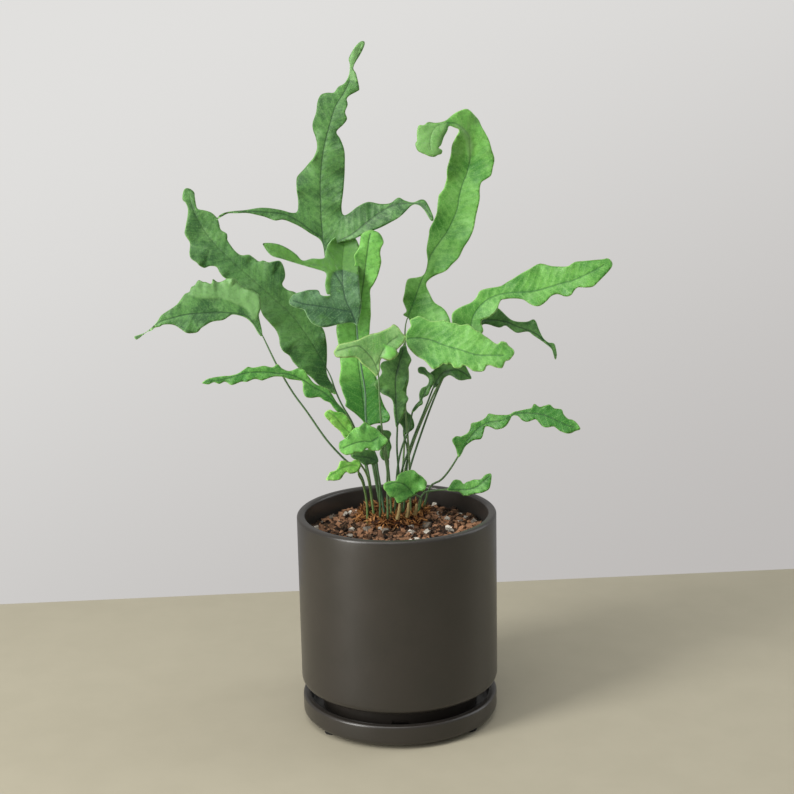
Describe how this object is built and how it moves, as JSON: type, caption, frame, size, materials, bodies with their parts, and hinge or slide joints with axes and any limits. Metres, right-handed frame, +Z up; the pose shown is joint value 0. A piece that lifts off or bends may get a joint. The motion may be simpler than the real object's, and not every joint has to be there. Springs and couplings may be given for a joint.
{
  "type": "potted fern",
  "caption": "Fern with wavy, lobed fronds on thin stalks, rising from creeping rhizomes in a straight-sided round pot on a low round saucer.",
  "frame": {"origin": "middle of the object's footprint, on the surface that the saucer's feet stand on; the pot's axis is 9.5 mm to +X of it", "axes": "+Z up, -Y towards the viewer (the side that most blades face), +X to the viewer's right"},
  "size_m": [0.261, 0.1142, 0.384],
  "materials": {
    "pot_ceramic": "matte charcoal, faintly sheened",
    "foot_rubber": "matte",
    "potting_mix": "loose bark, peat and perlite",
    "rhizome": "scaly, golden brown",
    "leaf": "fresh green leaf, soft gloss",
    "stalk": "pale green stalk"
  },
  "bodies": {
    "root": {"frond_beaded": "leaf", "frond_blue_lobed": "leaf", "frond_centre_dark": "leaf", "frond_centre_hidden": "leaf", "frond_centre_small": "leaf", "frond_folded": "leaf", "frond_front_broad": "leaf", "frond_front_small": "leaf", "frond_front_under": "leaf", "frond_hooked": "leaf", "frond_left_arching": "leaf", "frond_left_light": "leaf", "frond_left_narrow": "leaf", "frond_left_wavy": "leaf", "frond_left_young": "leaf", "frond_right_drooping": "leaf", "frond_right_long": "leaf", "frond_right_low": "leaf", "frond_right_short": "leaf", "frond_rim_round": "leaf", "frond_strap": "leaf", "frond_tall_lobed": "leaf", "frond_under_front": "leaf", "pot": "pot_ceramic", "potting_mix": "potting_mix", "rhizome_back": "rhizome", "rhizome_front": "rhizome", "rhizome_middle": "rhizome", "saucer": "pot_ceramic", "saucer_foot_1": "foot_rubber", "saucer_foot_2": "foot_rubber", "saucer_foot_3": "foot_rubber", "stalk_stub_1": "stalk", "stalk_stub_2": "stalk", "stalk_stub_3": "stalk"}
  },
  "joints": []
}
